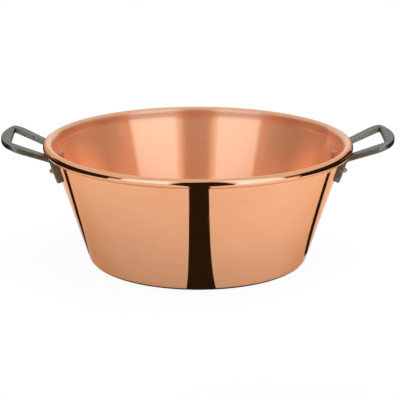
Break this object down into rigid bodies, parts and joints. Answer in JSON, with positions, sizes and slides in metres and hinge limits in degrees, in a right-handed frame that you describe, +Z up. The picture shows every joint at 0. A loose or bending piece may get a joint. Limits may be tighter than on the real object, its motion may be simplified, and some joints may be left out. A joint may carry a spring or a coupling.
{
  "type": "jam pan",
  "caption": "Wide open conical copper jam pan with a rolled rim and two riveted cast iron loop handles.",
  "frame": {"origin": "middle of the base, on the surface that the pan stands on", "axes": "+X through the two handles, +Y away from the viewer of the picture, +Z up"},
  "size_m": [0.4816, 0.38, 0.1598],
  "materials": {
    "copper": "copper sheet, mirror polished outside and satin brushed inside",
    "iron": "grey, fettled, as cast",
    "rivet_copper": "hammered copper"
  },
  "bodies": {
    "root": {"pan_body": "copper", "handle_left": "iron", "handle_right": "iron", "rivet_left_front": "rivet_copper", "rivet_left_back": "rivet_copper", "rivet_right_front": "rivet_copper", "rivet_right_back": "rivet_copper"}
  },
  "joints": []
}
